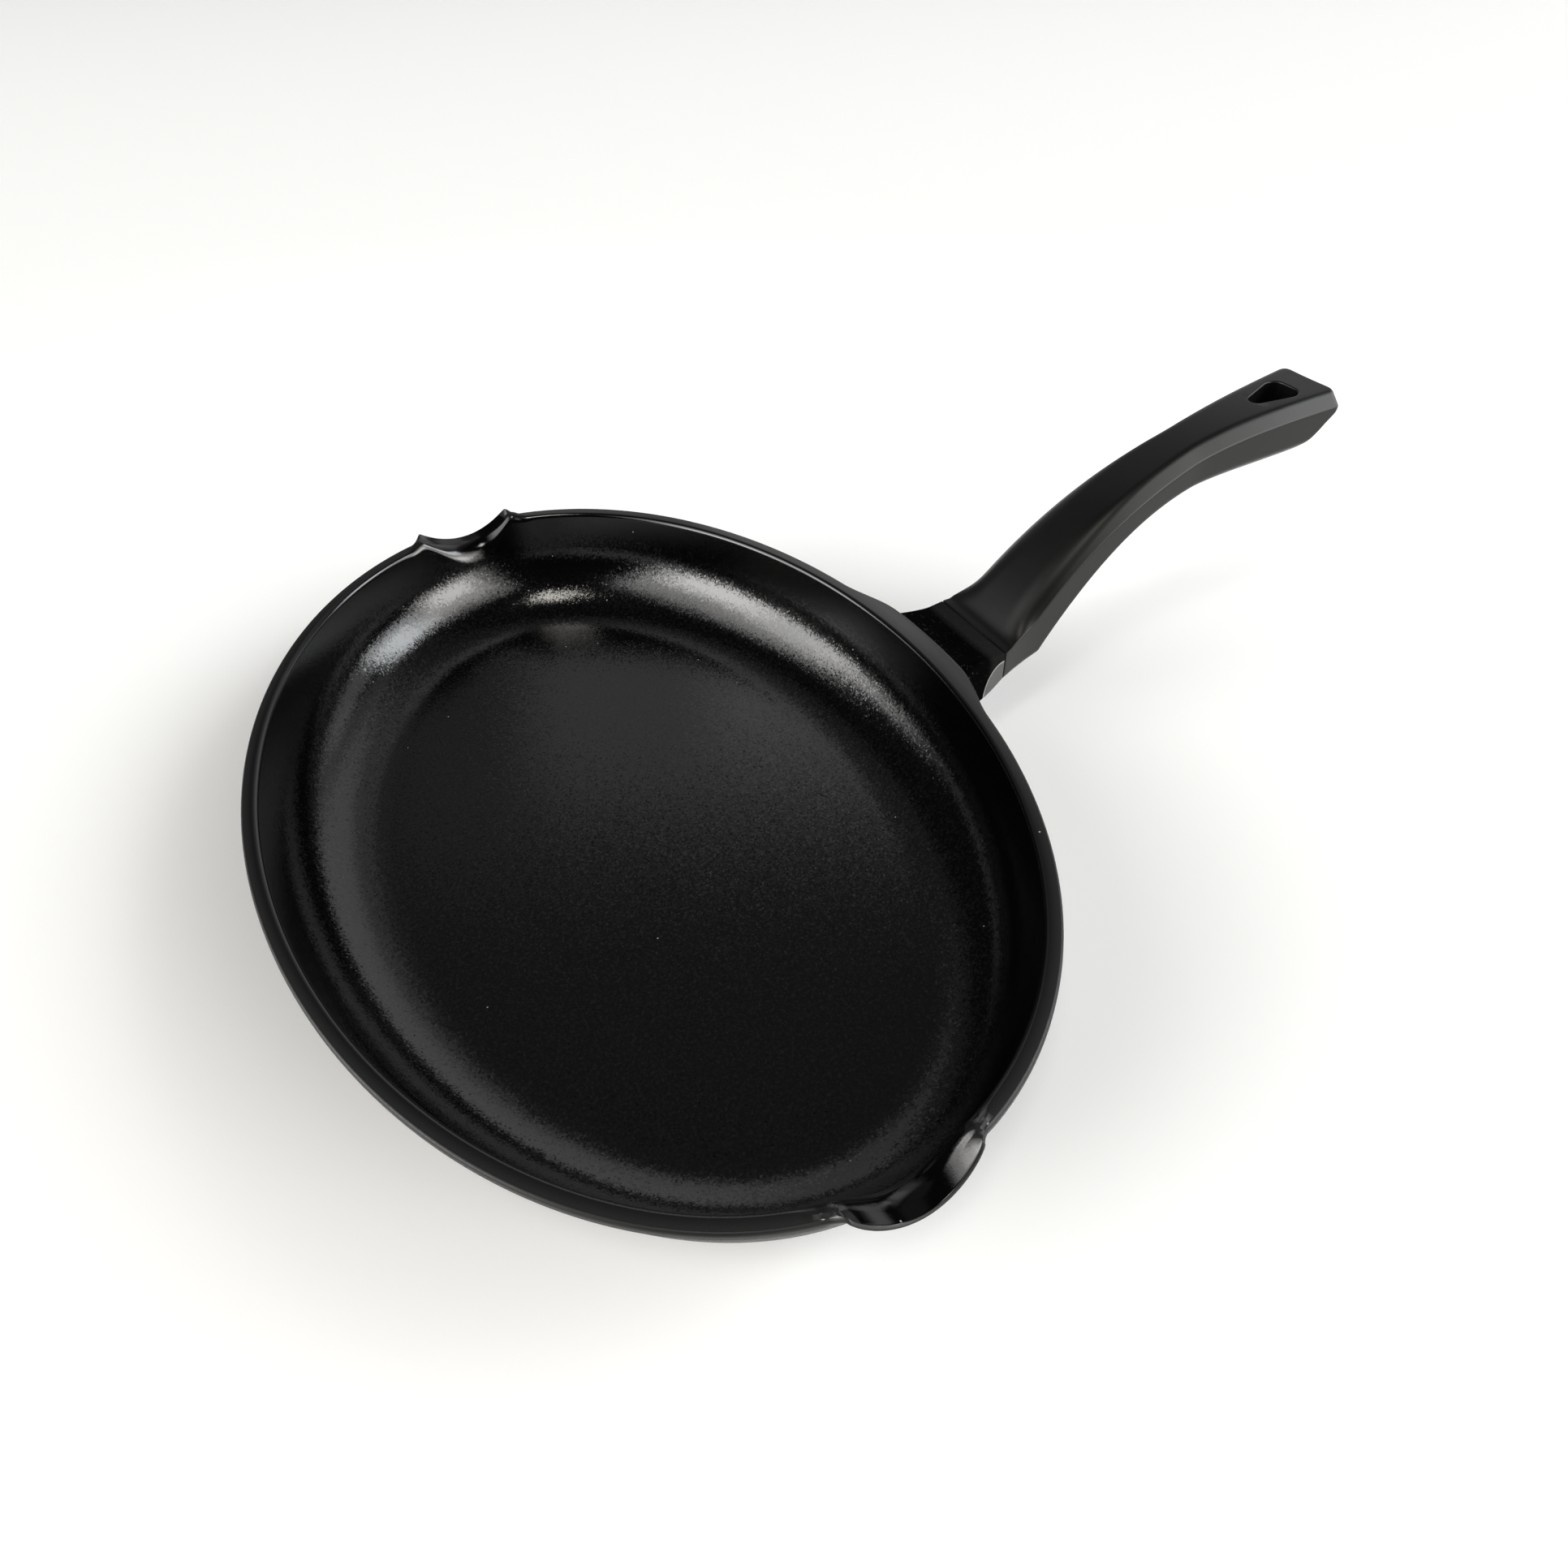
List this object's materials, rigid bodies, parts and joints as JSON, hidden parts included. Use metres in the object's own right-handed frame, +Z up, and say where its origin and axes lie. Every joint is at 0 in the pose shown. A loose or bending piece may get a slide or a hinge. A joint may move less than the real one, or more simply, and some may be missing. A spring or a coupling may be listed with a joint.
{
  "type": "oval fish pan",
  "caption": "Shallow oval frying pan for fish: cast bowl with a pouring spout at each end, steel plate in the base and a rising soft-touch grip screwed to a side lug.",
  "frame": {"origin": "middle of the flat underside of the base, on the face that rests on the hob", "axes": "+Z up out of the bowl, +X from the bowl's middle along the handle, Y from spout to spout"},
  "size_m": [0.4365, 0.369, 0.1017],
  "materials": {
    "coated_casting": "die-cast aluminium, black non-stick coating with fine pale flecks",
    "stainless": "turned magnetic stainless steel",
    "soft_touch": "moulded phenolic, matt black soft-touch lacquer",
    "plated_steel": "zinc-plated steel",
    "brass": "plain turned brass"
  },
  "bodies": {
    "root": {"pan_body": "coated_casting", "induction_plate": "stainless", "handle_grip": "soft_touch", "handle_screw": "plated_steel", "lock_washer": "plated_steel", "flat_washer": "plated_steel", "screw_bush": "plated_steel", "threaded_insert": "brass"}
  },
  "joints": []
}
